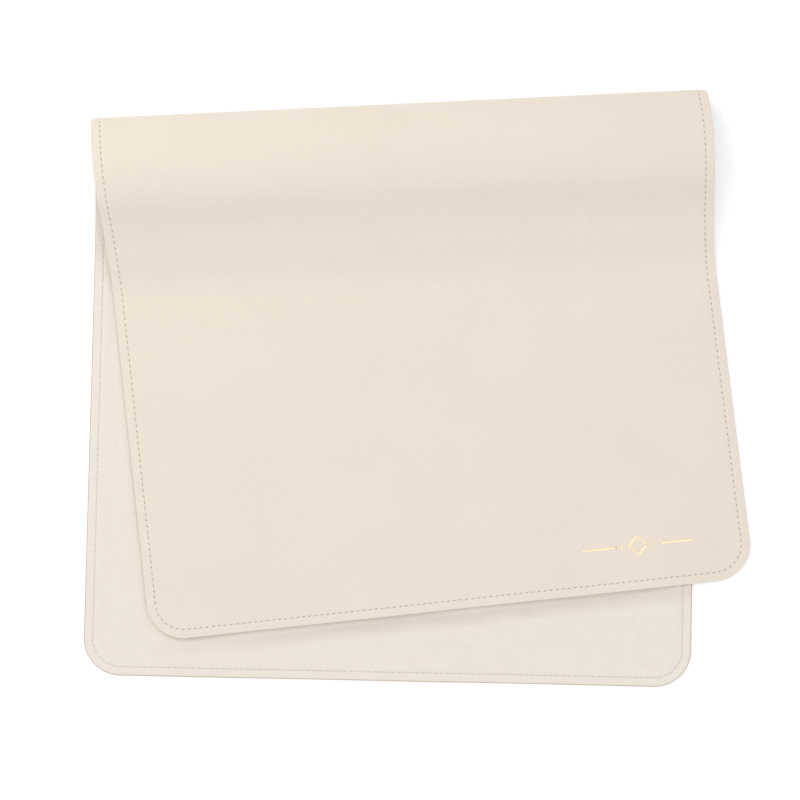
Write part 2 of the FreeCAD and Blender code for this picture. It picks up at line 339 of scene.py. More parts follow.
def seam_place(u, v):
    """t along the stitch line and inset from the edge, for flat points near the stitch line."""
    aside, ahead = HALF_WIDTH - CORNER, LENGTH / 2 - CORNER
    y = v - LENGTH / 2
    out_x, out_y = np.abs(u) - aside, np.abs(y) - ahead
    in_corner = (out_x > 0) & (out_y > 0)
    inset = np.where(in_corner, CORNER - np.hypot(out_x, out_y), CORNER - np.maximum(out_x, out_y))
    turn = np.arctan2(np.maximum(out_x, 0), np.maximum(out_y, 0)) * (CORNER - STITCH_INSET)
    bottom, right = y < 0, u >= 0
    on_side = ~in_corner & (out_x > out_y)
    t = np.where(bottom, u + aside, TOP_START + aside - u)
    t = np.where(on_side & right, RIGHT_START + v - CORNER, t)
    t = np.where(on_side & ~right, LEFT_START + LENGTH - CORNER - v, t)
    t = np.where(in_corner & bottom & right, ACROSS_EDGE + turn, t)
    t = np.where(in_corner & bottom & ~right, AROUND - turn, t)
    t = np.where(in_corner & ~bottom & right, TOP_START - turn, t)
    return np.where(in_corner & ~bottom & ~right, TOP_START + ACROSS_EDGE + turn, t), inset


def on_outline(t, inset):
    """Flat point at t along the stitch line, counted anticlockwise, and inset from the edge."""
    t = np.mod(t, AROUND)
    inset = inset + np.zeros_like(t)
    point = np.zeros(t.shape + (2,))
    begin = 0.0
    for start, way, length in SIDES:
        way = np.array(way, float)
        inward = np.array([-way[1], way[0]])
        done = t - begin
        straight = np.array(start) + done[..., None] * way + inset[..., None] * inward
        if way[1]:
            straight[..., 1] += way[1] * (STITCH_INSET - inset) * row_slope(way[1], straight[..., 1])
        turn = ((done - length) / (CORNER - STITCH_INSET))[..., None]
        centre = np.array(start) + length * way + CORNER * inward
        out = way * np.sin(turn) - inward * np.cos(turn)
        rounded = centre + (CORNER - inset)[..., None] * out
        point = np.where(((done >= 0) & (done < length))[..., None], straight, point)
        in_turn = (done >= length) & (done < length + CORNER_RUN)
        point = np.where(in_turn[..., None], rounded, point)
        begin += length + CORNER_RUN
    return point


def side_t(side, v):
    """t of a point of the stitch line on the right (1) or left (-1) edge."""
    if side > 0:
        return RIGHT_START + v - CORNER
    return LEFT_START + LENGTH - CORNER - v


SHARP_BEND = math.radians(20)
SHARP_STEPS, GENTLE_STEPS = 8, 6  # steps of the layout in the arc of a sharp or a gentle fold line
SLOPE_STEPS = 10  # and down the slope
SAME_ROW = 0.05 * MM  # rows closer than this are taken as one
SAME_POINT = 0.24 * MM  # and so are points closer than this along the stitch line
AT_HOLE = 0.25 * MM  # a point closer than this to a needle hole's middle goes down into it


def fold_rows():
    """Places of the layout's rows in the fold: close together in the arcs."""
    places = set(CUTS)
    for line in LINES:
        steps = SHARP_STEPS if line["bend"] > SHARP_BEND else GENTLE_STEPS
        start, end = line["place"] - line["reach"], line["place"] + line["reach"]
        places.update(np.linspace(start, end, steps + 1))
    straight_start = SLOPE_START["place"] + SLOPE_START["reach"]
    straight_end = SLOPE_END["place"] - SLOPE_END["reach"]
    places.update(np.linspace(straight_start, straight_end, SLOPE_STEPS + 1)[1:-1])
    kept = []
    for place in sorted(places):
        if not kept or place - kept[-1] > SAME_ROW:
            kept.append(place)
    return kept


ROW_PLACES = fold_rows()


def crossings(places):
    """t where lines across the pad at these places meet the stitch line, right and then left."""
    at_side = HALF_WIDTH - STITCH_INSET
    return [side_t(side, v_at(place, side * at_side)) for side in (1, -1) for place in places]


def ring_places():
    """t of every point round the pad, and which of them are needle holes."""
    holes = np.arange(STITCHES) * PITCH
    shoulders = np.concatenate([holes - HOLE_REACH, holes + HOLE_REACH])
    kept = []
    for group in (crossings(CUTS), holes, shoulders, crossings(ROW_PLACES)):
        known = np.array(kept)
        for t in np.mod(group, AROUND):
            if not len(known) or np.abs(known - t).min() > SAME_POINT:
                kept.append(t)
    kept = np.sort(np.array(kept))
    gap = np.abs(kept[:, None] - holes[None, :]).min(axis=1)
    return kept, gap < AT_HOLE


INNER_INSET = 21 * MM  # the rings end here, and a grid fills the rest of a layer
INNER_CORNER = CORNER - INNER_INSET
INNER_HALF = HALF_WIDTH - INNER_INSET
COLUMNS = 112
CORNER_STEPS = 3
LOWER_ROWS, UPPER_ROWS = 140, 48  # before and after the rows of the fold


def inner_rows():
    """Left v, right v, half extent and corner angle of each row of the inner grid."""
    rows = []
    for step in range(CORNER_STEPS):
        turn = math.pi / 2 * step / CORNER_STEPS
        v = CORNER - INNER_CORNER * math.cos(turn)
        rows.append((v, v, HALF_WIDTH - CORNER + INNER_CORNER * math.sin(turn), turn, 1))
    ends = [(v_at(c, -INNER_HALF), v_at(c, INNER_HALF)) for c in ROW_PLACES]
    for row in range(LOWER_ROWS):
        share = row / LOWER_ROWS
        left, right = (CORNER + (end - CORNER) * share for end in ends[0])
        rows.append((left, right, INNER_HALF, None, 0))
    rows += [(left, right, INNER_HALF, None, 0) for left, right in ends]
    top = LENGTH - CORNER
    for row in range(1, UPPER_ROWS + 1):
        left, right = (end + (top - end) * row / UPPER_ROWS for end in ends[-1])
        rows.append((left, right, INNER_HALF, None, 0))
    for step in reversed(range(CORNER_STEPS)):
        turn = math.pi / 2 * step / CORNER_STEPS
        v = top + INNER_CORNER * math.cos(turn)
        rows.append((v, v, HALF_WIDTH - CORNER + INNER_CORNER * math.sin(turn), turn, -1))
    return rows


def row_end_t(row, side):
    """t at which a row of the inner grid meets the stitch line's side."""
    left, right, _, turn, corner = row
    if turn is None:
        slope = (right - left) / (2 * INNER_HALF)
        v = (right if side > 0 else left) + side * slope * (INNER_INSET - STITCH_INSET)
        return side_t(side, v)
    run = turn * (CORNER - STITCH_INSET)
    if corner > 0:
        return ACROSS_EDGE + run if side > 0 else AROUND - run
    return TOP_START - run if side > 0 else TOP_START + ACROSS_EDGE + run


def inner_grid():
    """Flat points of the inner grid, and its border anticlockwise with each point's t."""
    rows = inner_rows()
    spread = np.linspace(-1, 1, COLUMNS + 1)
    points = np.zeros((len(rows), COLUMNS + 1, 2))
    for index, (left, right, half, _, _) in enumerate(rows):
        points[index, :, 0] = spread * half
        points[index, :, 1] = left + (right - left) * (spread + 1) / 2
    last = len(rows) - 1
    border = [((0, c), (spread[c] + 1) / 2 * ACROSS_EDGE) for c in range(COLUMNS + 1)]
    border += [((r, COLUMNS), row_end_t(rows[r], 1)) for r in range(1, last)]
    for c in reversed(range(COLUMNS + 1)):
        border.append(((last, c), TOP_START + (1 - (spread[c] + 1) / 2) * ACROSS_EDGE))
    border += [((r, 0), row_end_t(rows[r], -1)) for r in range(last - 1, 0, -1)]
    return points, [place for place, _ in border], np.array([t for _, t in border])


LEVEL = 0.02 * MM  # points of two rows this close in t are joined straight across


def zip_rings(outer_t, inner_t):
    """Faces between two closed rows of points, as ("o" or "i", index) corners."""
    faces, i, j = [], 0, 0
    outer_end, inner_end = len(outer_t), len(inner_t)
    outer_t = np.append(outer_t, outer_t[0] + AROUND)
    inner_t = np.append(inner_t, inner_t[0] + AROUND)
    while i < outer_end or j < inner_end:
        next_outer = outer_t[i + 1] if i < outer_end else math.inf
        next_inner = inner_t[j + 1] if j < inner_end else math.inf
        a, b = ("o", i % outer_end), ("i", j % inner_end)
        a_next, b_next = ("o", (i + 1) % outer_end), ("i", (j + 1) % inner_end)
        if abs(next_outer - next_inner) < LEVEL:
            faces.append((a, a_next, b_next, b))
            i, j = i + 1, j + 1
        elif next_outer < next_inner:
            faces.append((a, a_next, b))
            i += 1
        else:
            faces.append((a, b_next, b))
            j += 1
    return faces


RING_T, IS_HOLE = ring_places()
GRID, BORDER, BORDER_T = inner_grid()
ZIP = zip_rings(RING_T, BORDER_T)

# ---------------------------------------------------------------- layers

# In millimetres: insets of a face's rings, close together at the stitch line, and then the
# (inset, height) of each rim's rings, a height being the leather's depth or the lining's over the seam.
OUTER_INSETS = (1.2, 2.6, 4.0, 5.0, 5.58, 6.0, 6.42, 7.0, 7.8, 8.8, 10.2, 11.8, 13.5, 15.5, 18)
FACE_INSETS = [inset * MM for inset in OUTER_INSETS]
LEATHER_RIM = [(0.0, 1.0), (0.0, 0.45), (0.05, 0.25), (0.17, 0.09), (0.4, 0.0)]
LINING_RIM = [(0.5, 0.0), (0.5, 0.42), (0.56, 0.62), (0.68, 0.8), (0.9, 0.9)]


def seam_relief(t, inset, groove, ridge, press):
    """Depth into a face near its stitching: pressed edge, groove, and a ridge inside it."""
    sway = 1 + 0.35 * np.sin(t / (31 * MM)) + 0.25 * np.sin(t / (11.3 * MM) + 1.0)
    pressed = press * (1 - smooth(0, STITCH_INSET, inset))
    sunk = groove * bump(STITCH_INSET, 1.0 * MM, inset)
    return pressed + sunk - ridge * sway * bump(STITCH_INSET + 3.4 * MM, 1.9 * MM, inset)


def corner_pucker(t, inset):
    """Small ripples that radiate from the stitching of the lower corners, in the lining."""
    middle_left = AROUND - CORNER_RUN / 2
    middle_right = ACROSS_EDGE + CORNER_RUN / 2
    zone = bump(13 * MM, 5 * MM, inset)
    left = bump(middle_left, 17 * MM, t) * np.sin(math.tau * (t + 0.25 * inset) / (6.2 * MM))
    right = bump(middle_right, 12 * MM, t) * np.sin(math.tau * t / (7.1 * MM))
    return zone * (0.34 * MM * left + 0.12 * MM * right)


def face_relief(kind, t, inset):
    """Depth into a layer's face of its seam and, in the lining, of its puckers."""
    if kind == "leather":
        return seam_relief(t, inset, groove=0.13 * MM, ridge=0.06 * MM, press=0.12 * MM)
    seam = seam_relief(t, inset, groove=0.24 * MM, ridge=0.26 * MM, press=0.22 * MM)
    return seam + corner_pucker(t, inset)


def layer_rings(kind):
    """Flat point and depth of every ring from the rim's seam side in over the face."""
    rim = LEATHER_RIM if kind == "leather" else LINING_RIM
    base, inwards = (0.0, 1) if kind == "leather" else (THICKNESS, -1)
    rings = []
    for inset, height in rim:
        depth = height * MM if kind == "leather" else SEAM + height * MM
        on_face = smooth(0.3, 0.9, np.array(1 - abs(depth - base) / (0.9 * MM)))
        relief = face_relief(kind, RING_T, inset * MM) * on_face
        rings.append((inset * MM, depth + inwards * relief))
    for inset in FACE_INSETS:
        depth = base + inwards * face_relief(kind, RING_T, inset)
        if inset == STITCH_INSET:
            depth = depth + inwards * HOLE_DEPTH * IS_HOLE
        rings.append((inset, depth))
    return [(on_outline(RING_T, inset), depth) for inset, depth in rings]


def layer_surface(kind):
    """Flat points (u, v, depth) and faces of a whole layer, face side and seam side."""
    rings = layer_rings(kind)
    count, grid_count = len(RING_T), GRID.shape[0] * GRID.shape[1]
    face_depth, seam_depth = (0.0, SEAM) if kind == "leather" else (THICKNESS, SEAM)
    flat = [np.column_stack([point, np.zeros(count) + depth]) for point, depth in rings]
    grid = GRID.reshape(-1, 2)
    flat += [np.column_stack([grid, np.full(grid_count, d)]) for d in (face_depth, seam_depth)]
    face_start = len(rings) * count
    seam_start = face_start + grid_count

    def zipped(ring, start):
        on_grid = [start + row * GRID.shape[1] + column for row, column in BORDER]
        index = {"o": range(ring * count, (ring + 1) * count), "i": on_grid}
        return [tuple(index[side][k] for side, k in face) for face in ZIP]

    def gridded(start):
        height, width = GRID.shape[:2]
        cell = [(r * width + c) + start for r in range(height - 1) for c in range(width - 1)]
        return [(a, a + 1, a + width + 1, a + width) for a in cell]

    shown = []
    for ring in range(len(rings) - 1):
        for k in range(count):
            a, b = ring * count + k, ring * count + (k + 1) % count
            shown.append((a, b, b + count, a + count))
    shown += zipped(len(rings) - 1, face_start) + gridded(face_start)
    hidden = zipped(0, seam_start) + gridded(seam_start)
    if kind == "leather":
        shown = [face[::-1] for face in shown]
    else:
        hidden = [face[::-1] for face in hidden]
    return np.concatenate(flat), shown, hidden


def padded_corners(faces):
    """Faces as an array of four corners, a triangle's last corner twice."""
    return np.array([face if len(face) == 4 else (*face, face[-1]) for face in faces])


def vertex_normals(points, corners):
    """Normal at each vertex over these faces alone, weighted by their area."""
    a, b, c, d = (points[corners[:, k]] for k in range(4))
    normal = np.cross(c - a, d - b)
    total = np.zeros_like(points)
    for k in range(4):
        np.add.at(total, corners[:, k], normal)
    return total / np.maximum(np.linalg.norm(total, axis=1, keepdims=True), 1e-20)


def section_of(flat, corners):
    """Which piece of the pad each face belongs to, from the places of the cuts."""
    middle = flat[corners].mean(axis=1)
    return np.searchsorted(CUTS, across_of(middle[:, 0], middle[:, 1]))


def cut_faces(faces):
    """A face across each open end, from the edges that only one face uses."""
    follows = {}
    for face in faces:
        for a, b in zip(face, face[1:] + face[:1]):
            if follows.get(a) == b:
                raise ValueError("two faces run the same way along one edge")
            if (b, a) in follows:
                del follows[(b, a)]
            else:
                follows[(a, b)] = True
    onward = {b: a for a, b in follows}
    caps = []
    while onward:
        start = next(iter(onward))
        loop, here = [start], onward.pop(start)
        while here != start:
            loop.append(here)
            here = onward.pop(here)
        caps.append(tuple(loop))
    return caps


def hole_share(flat):
    """1 in the middle of a needle hole and 0 from its rim on, for flat points."""
    t, inset = seam_place(flat[:, 0], flat[:, 1])
    from_hole = np.abs(np.mod(t / PITCH + 0.5, 1) - 0.5) * PITCH
    reach = np.hypot(from_hole / HOLE_REACH, (inset - STITCH_INSET) / HOLE_WIDTH)
    return np.clip(1 - reach, 0, 1)


def mesh_object(name, points, faces, material, flat, normals=None):
    """A smooth-shaded object, with its flat place in millimetres and its holes as attributes."""
    mesh = bpy.data.meshes.new(name)
    mesh.from_pydata([tuple(p) for p in points], [], [tuple(int(k) for k in f) for f in faces])
    mesh.polygons.foreach_set("use_smooth", [True] * len(faces))
    place = mesh.attributes.new("flat_mm", "FLOAT_VECTOR", "POINT")
    place.data.foreach_set("vector", (np.asarray(flat) / MM).astype(np.float32).ravel())
    hole = mesh.attributes.new("hole", "FLOAT", "POINT")
    hole.data.foreach_set("value", hole_share(np.asarray(flat)).astype(np.float32))
    mesh.materials.append(material)
    mesh.update()
    if normals is not None:
        mesh.normals_split_custom_set([tuple(n) for n in normals])
    piece = bpy.data.objects.new(name, mesh)
    bpy.context.scene.collection.objects.link(piece)
    return piece


def cap_normal(points, loop):
    """Unit normal of a flat loop of points."""
    ring = points[list(loop)]
    total = np.cross(ring, np.roll(ring, -1, axis=0)).sum(axis=0)
    return total / np.linalg.norm(total)


def layer_pieces(kind, name, material):
    """The layer's pieces, one for each section of the pad, closed at the cuts."""
    flat, shown, hidden = layer_surface(kind)
    points = place_on_pad(*flat.T)
    groups = []
    for faces in (shown, hidden):
        corners = padded_corners(faces)
        groups.append((faces, section_of(flat, corners), vertex_normals(points, corners)))
    pieces = []
    for section in range(len(CUTS) + 1):
        faces, normals = [], []
        for group, sections, normal in groups:
            chosen = [group[k] for k in np.flatnonzero(sections == section)]
            faces += chosen
            normals += [normal[k] for face in chosen for k in face]
        caps = cut_faces(faces)
        for cap in caps:
            normals += [cap_normal(points, cap)] * len(cap)
        faces += caps
        used = np.unique(np.concatenate([np.array(face) for face in faces]))
        new_index = np.zeros(len(flat), int)
        new_index[used] = np.arange(len(used))
        local = [tuple(new_index[list(face)]) for face in faces]
        title = f"{name}_{SECTIONS[section][0]}"
        pieces.append(mesh_object(title, points[used], local, material, flat[used], normals))
    return pieces


# ---------------------------------------------------------------- stitches

THREAD_RADIUS = 0.27 * MM
THREAD_DIVE = 0.62 * MM  # how far each end of a stitch goes down into its hole
THREAD_SIDES = 7
THREAD_STEPS = 9


def stitch_surface(kind):
    """Flat points, faces and section of every stitch, each a bar that dives at its ends."""
    base, inwards = (0.0, 1) if kind == "needle" else (THICKNESS, -1)
    wobble = np.random.default_rng(11 if kind == "needle" else 12)
    along = np.linspace(0, 1, THREAD_STEPS)
    turn = np.arange(THREAD_SIDES) * math.tau / THREAD_SIDES
    rise = np.sin(math.pi * along) ** 0.45
    flat, faces, sections = [], [], []
    for stitch in range(STITCHES):
        slant, height = wobble.normal(0.16, 0.05) * MM, wobble.normal(0.13, 0.03) * MM
        t = (stitch + 0.06 + 0.88 * along) * PITCH
        middle = THREAD_DIVE * (1 - rise) + height
        radius = THREAD_RADIUS * (0.72 + 0.28 * rise)
        inset = STITCH_INSET + slant * (2 * along - 1)
        inset = inset[:, None] + radius[:, None] * np.cos(turn)
        depth = base + inwards * (middle[:, None] + radius[:, None] * np.sin(turn))
        around = np.repeat(t[:, None], THREAD_SIDES, axis=1)
        point = on_outline(around.ravel(), inset.ravel())
        start = stitch * THREAD_STEPS * THREAD_SIDES
        flat.append(np.column_stack([point, depth.ravel()]))
        sections.append(int(np.searchsorted(CUTS, across_of(*point.mean(axis=0)))))
        own = []
        for step in range(THREAD_STEPS - 1):
            for side in range(THREAD_SIDES):
                a = start + step * THREAD_SIDES + side
                b = start + step * THREAD_SIDES + (side + 1) % THREAD_SIDES
                own.append((a, b, b + THREAD_SIDES, a + THREAD_SIDES))
        end = start + (THREAD_STEPS - 1) * THREAD_SIDES
        own.append(tuple(range(start, start + THREAD_SIDES))[::-1])
        own.append(tuple(range(end, end + THREAD_SIDES)))
        faces.append([face if inwards < 0 else face[::-1] for face in own])
    return np.concatenate(flat), faces, sections


def stitch_pieces(kind, name, material):
    """The row's pieces, one for each section of the pad."""
    flat, faces, sections = stitch_surface(kind)
    points = place_on_pad(*flat.T)
    pieces = []
    for section, (title, _, _) in enumerate(SECTIONS):
        chosen = [f for own, s in zip(faces, sections) if s == section for f in own]
        used = np.unique(np.concatenate([np.array(face) for face in chosen]))
        new_index = np.zeros(len(flat), int)
        new_index[used] = np.arange(len(used))
        local = [tuple(new_index[list(face)]) for face in chosen]
        pieces.append(mesh_object(f"{name}_{title}", points[used], local, material, flat[used]))
    return pieces


# ---------------------------------------------------------------- foil ornament

FOIL_MIDDLE = (HALF_WIDTH - 75 * MM, LENGTH - 30 * MM)
FOIL_STROKE = 1.35 * MM
FOIL_DIAMOND = 6.3 * MM
FOIL_DOT = 1.0 * MM
FOIL_DOT_PLACE = 10.5 * MM
FOIL_DOT_SIDES = 20
FOIL_BAR = (14.5 * MM, 38 * MM)
FOIL_BAR_STEPS = 16
FOIL_PROUD = 0.05 * MM  # the foil's face over the leather's
FOIL_SUNK = 0.1 * MM  # its edges, pressed into the leather
FOIL_PROFILE = ((-1, FOIL_SUNK), (-0.72, -FOIL_PROUD), (0.72, -FOIL_PROUD), (1, FOIL_SUNK))


def ribbon(line, widths, closed):
    """Flat points and faces of a thin raised ribbon along a line of points."""
    line = np.array(line)
    if closed:
        way = np.roll(line, -1, axis=0) - np.roll(line, 1, axis=0)
    else:
        way = np.gradient(line, axis=0)
    way /= np.linalg.norm(way, axis=1, keepdims=True)
    side = np.column_stack([-way[:, 1], way[:, 0]])
    rows = []
    for share, depth in FOIL_PROFILE:
        place = line + side * (np.array(widths) * share / 2)[:, None]
        rows.append(np.column_stack([place, np.full(len(line), depth)]))
    count = len(line)
    faces = []
    for row in range(4):
        for k in range(count if closed else count - 1):
            a, b = row * count + k, row * count + (k + 1) % count
            below = ((row + 1) % 4) * count
            faces.append((a, below + k, below + (k + 1) % count, b))
    if not closed:
        faces.append(tuple(row * count for row in range(4))[::-1])
        faces.append(tuple(row * count + count - 1 for row in range(4)))
    return np.concatenate(rows), faces


def ornament():
    """The ornament's parts: an open diamond, a dot each side, and a tapering bar each side."""
    parts = []
    tips = FOIL_DIAMOND * np.array([(1, 0), (0, 1), (-1, 0), (0, -1), (1, 0)], float)
    edge = [a + (b - a) * s for a, b in zip(tips, tips[1:]) for s in (0.02, 0.1, 0.5, 0.9, 0.98)]
    parts.append(ribbon(edge, [FOIL_STROKE] * len(edge), True))
    for side in (-1, 1):
        turn = np.arange(FOIL_DOT_SIDES) * math.tau / FOIL_DOT_SIDES
        ring = np.column_stack([np.cos(turn), np.sin(turn)]) * FOIL_DOT / 2
        dot = ring + (side * FOIL_DOT_PLACE, 0)
        parts.append(ribbon(dot, [FOIL_DOT * 0.98] * FOIL_DOT_SIDES, True))
        reach = np.linspace(*FOIL_BAR, FOIL_BAR_STEPS) * side
        taper = FOIL_STROKE * np.clip((FOIL_BAR[1] - np.abs(reach)) / (3 * MM), 0.06, 1)
        parts.append(ribbon(np.column_stack([reach, np.zeros(FOIL_BAR_STEPS)]), taper, False))
    return parts


def foil_piece(material):
    """All of the ornament's parts as one piece, laid on the leather."""
    flat, faces = [], []
    for part, part_faces in ornament():
        start = sum(len(p) for p in flat)
        flat.append(part + (*FOIL_MIDDLE, 0))
        faces += [tuple(k + start for k in face) for face in part_faces]
    flat = np.concatenate(flat)
    points = place_on_pad(*flat.T)
    return mesh_object("foil_ornament", points, faces, material, flat)


# ---------------------------------------------------------------- materials

MIX_SHARE, MIX_A, MIX_B = 0, 6, 7  # inputs of a Mix node that mixes colours
MIX_RESULT = 2  # and its output


class Nodes:
    """A material's node tree, with short calls that add and join its nodes."""

    def __init__(self, name):
        self.material = bpy.data.materials.new(name)
        self.material.use_nodes = True
        self.tree = self.material.node_tree
        self.shader = self.tree.nodes["Principled BSDF"]

    def add(self, kind, inputs=None, **settings):
        """A new node, with its settings made and its inputs fed."""
        node = self.tree.nodes.new(kind)
        for key, value in settings.items():
            setattr(node, key, value)
        for key, value in (inputs or {}).items():
            self.feed(node.inputs[key], value)
        return node

    def feed(self, socket, value):
        """Join an output to the socket, or set the socket to a constant."""
        if isinstance(value, bpy.types.NodeSocket):
            self.tree.links.new(value, socket)
        else:
            socket.default_value = value

    def place(self):
        """The point's flat place, in millimetres."""
        return self.add("ShaderNodeAttribute", attribute_name="flat_mm").outputs["Vector"]

    def noise(self, place, scale, detail=3.0, roughness=0.5):
        inputs = {"Vector": place, "Scale": scale, "Detail": detail, "Roughness": roughness}
        return self.add("ShaderNodeTexNoise", inputs).outputs["Fac"]

    def cells(self, place, scale, feature, smoothness=0.5):
        node = self.add("ShaderNodeTexVoronoi", {"Vector": place, "Scale": scale}, feature=feature)
        if feature == "SMOOTH_F1":
            node.inputs["Smoothness"].default_value = smoothness
        return node.outputs["Distance"]

    def between(self, value, low, high, to_low=0.0, to_high=1.0):
        """to_low below low, to_high above high, and straight between."""
        inputs = {"Value": value, "From Min": low, "From Max": high}
        inputs.update({"To Min": to_low, "To Max": to_high})
        return self.add("ShaderNodeMapRange", inputs).outputs["Result"]

    def maths(self, operation, a, b):
        return self.add("ShaderNodeMath", {0: a, 1: b}, operation=operation).outputs[0]

    def vectors(self, operation, a, b):
        return self.add("ShaderNodeVectorMath", {0: a, 1: b}, operation=operation).outputs[0]

    def mix(self, share, a, b):
        """Colour a where the share is 0, and b where it is 1."""
        node = self.add("ShaderNodeMix", data_type="RGBA")
        self.feed(node.inputs[MIX_SHARE], share)
        self.feed(node.inputs[MIX_A], a)
        self.feed(node.inputs[MIX_B], b)
        return node.outputs[MIX_RESULT]

    def bumped(self, height, distance, under=None):
        inputs = {"Height": height, "Distance": distance, "Strength": 1.0}
        if under is not None:
            inputs["Normal"] = under
        return self.add("ShaderNodeBump", inputs).outputs["Normal"]

    def hole(self):
        """1 in the middle of a needle hole, 0 away from it."""
        return self.add("ShaderNodeAttribute", attribute_name="hole").outputs["Fac"]

    def depth(self, place):
        return self.add("ShaderNodeSeparateXYZ", {0: place}).outputs["Z"]


def linear(red, green, blue):
    """A screen colour, 0 to 255, as Blender's linear one."""
    screen = [channel / 255 for channel in (red, green, blue)]
    return (*(c / 12.92 if c <= 0.04045 else ((c + 0.055) / 1.055) ** 2.4 for c in screen), 1)


def leather_material():
    """Pebbled faux leather, tan where its cut edge shows, with painted shade in its grain's creases and
    its needle holes.
    """
    n = Nodes("leather")
    place = n.place()
    warp = n.add("ShaderNodeTexNoise", {"Vector": place, "Scale": 0.45, "Detail": 2.0})
    bent = n.vectors("ADD", place, n.vectors("MULTIPLY", warp.outputs["Color"], (0.9, 0.9, 0.9)))
    pebble = n.cells(bent, 0.86, "SMOOTH_F1", 0.35)
    crease = n.between(n.cells(bent, 0.86, "DISTANCE_TO_EDGE"), 0.0, 0.22)
    fine = n.noise(place, 2.6, 4.0, 0.6)
    cloudy = n.between(n.noise(place, 0.02, 2.0), 0.3, 0.7)
    face = n.mix(cloudy, linear(218, 207, 193), linear(220, 209, 195))
    # Painted shade: darker in the creases between the grain's pebbles.
    face = n.mix(n.between(crease, 0.0, 1.0, 0.16, 0.0), face, linear(182, 162, 138))
    edge = n.between(n.depth(place), 0.30, 0.55)
    colour = n.mix(edge, face, linear(187, 163, 134))
    # Painted shade in the needle holes.
    colour = n.mix(n.between(n.hole(), 0.04, 0.42), colour, linear(154, 132, 106))
    n.feed(n.shader.inputs["Base Color"], colour)
    n.feed(n.shader.inputs["Roughness"], n.between(fine, 0.3, 0.7, 0.46, 0.60))
    grain = n.maths("ADD", n.maths("MULTIPLY", crease, 0.6), n.maths("MULTIPLY", pebble, -0.5))
    grain = n.maths("ADD", grain, n.maths("MULTIPLY", fine, 0.35))
    n.feed(n.shader.inputs["Normal"], n.bumped(grain, 0.09 * MM))
    n.shader.inputs["Specular IOR Level"].default_value = 0.42
    return n.material


def painted_shade_strip(n, place, nap):
    """Painted shade, 0 to 1, in a strip just outside the upper half's free edge, patchy with the nap.
    """
    flat = n.add("ShaderNodeSeparateXYZ", {0: place})
    u, v = flat.outputs["X"], flat.outputs["Y"]
    edge = n.maths("ADD", n.maths("MULTIPLY", u, FREE_EDGE_SLOPE), FREE_EDGE / MM)
    outside = n.maths("SUBTRACT", edge, v)
    ragged = n.maths("ADD", outside, n.between(n.noise(place, 0.03, 2.0), 0.3, 0.7, -1.5, 1.5))
    strip = n.maths("MULTIPLY", n.between(outside, 2.5, 6.0), n.between(ragged, 7.5, 15.0, 1.0, 0.0))
    along = n.maths("MULTIPLY", n.between(u, -165, -50), n.between(u, 90, 200, 1.0, 0.6))
    patchy = n.between(nap, 0.3, 0.7, 0.75, 1.0)
    return n.maths("MULTIPLY", n.maths("MULTIPLY", strip, along), patchy)


def suede_material():
    """Short-napped micro suede: a soft mottle, fine fibres and a few stray flecks, with painted shade
    below the upper half's free edge and in the needle holes.
    """
    n = Nodes("suede")
    place = n.place()
    mottle = n.noise(place, 0.09, 4.0, 0.6)
    nap = n.noise(place, 0.55, 4.0, 0.65)
    fibre = n.noise(place, 2.2, 3.0, 0.7)
    fleck = n.between(n.cells(place, 0.16, "F1"), 0.0, 0.085, 1.0, 0.0)
    base = n.mix(n.between(mottle, 0.3, 0.7), linear(219, 210, 200), linear(222, 213, 203))
    base = n.mix(n.between(nap, 0.35, 0.7, 0.0, 0.25), base, linear(207, 196, 184))
    # Painted shade in a strip just outside the upper half's free edge.
    base = n.mix(painted_shade_strip(n, place, nap), base, linear(203, 193, 182))
    colour = n.mix(n.maths("MULTIPLY", fleck, 0.25), base, linear(180, 166, 152))
    # Painted shade in the needle holes.
    colour = n.mix(n.between(n.hole(), 0.04, 0.6), colour, linear(186, 177, 170))
    n.feed(n.shader.inputs["Base Color"], colour)
    n.feed(n.shader.inputs["Roughness"], n.between(nap, 0.3, 0.7, 0.88, 0.98))
    lumps = n.bumped(nap, 0.22 * MM)
    n.feed(n.shader.inputs["Normal"], n.bumped(fibre, 0.07 * MM, lumps))
    n.shader.inputs["Specular IOR Level"].default_value = 0.2
    n.shader.inputs["Sheen Weight"].default_value = 0.25
    n.shader.inputs["Sheen Roughness"].default_value = 0.5
    return n.material


def thread_material(name, colour, shade, hole):
    """Twisted sewing thread: fine slanted plies, with painted shade where it dives into its needle
    holes.
    """
    n = Nodes(name)
    place = n.place()
    bands = {"Vector": place, "Scale": 0.55, "Distortion": 1.2}
    plies = n.add("ShaderNodeTexWave", bands, bands_direction="DIAGONAL").outputs["Fac"]
    twisted = n.mix(plies, shade, colour)
    # Painted shade where the thread dives into its needle holes.
    n.feed(n.shader.inputs["Base Color"], n.mix(n.between(n.hole(), 0.04, 0.42), twisted, hole))
    n.feed(n.shader.inputs["Roughness"], n.between(plies, 0, 1, 0.65, 0.5))
    n.feed(n.shader.inputs["Normal"], n.bumped(plies, 0.05 * MM))
    return n.material


def foil_material():
    """Stamped gold foil, with the leather's grain showing through it, and painted shade along its
    pressed-in edges.
    """
    n = Nodes("foil")
    place = n.place()
    grain = n.noise(place, 1.1, 3.0, 0.6)
    # Painted shade along the foil's edges, where they are pressed into the leather.
    rim = n.between(n.depth(place), -0.05, 0.05)
    gold = n.mix(n.between(grain, 0.35, 0.65), linear(234, 206, 152), linear(245, 224, 180))
    n.feed(n.shader.inputs["Base Color"], n.mix(rim, gold, linear(196, 150, 84)))
    n.feed(n.shader.inputs["Roughness"], n.between(grain, 0.3, 0.7, 0.22, 0.38))
    n.feed(n.shader.inputs["Normal"], n.bumped(grain, 0.06 * MM))
    n.shader.inputs["Metallic"].default_value = 1.0
    return n.material


# ---------------------------------------------------------------- building


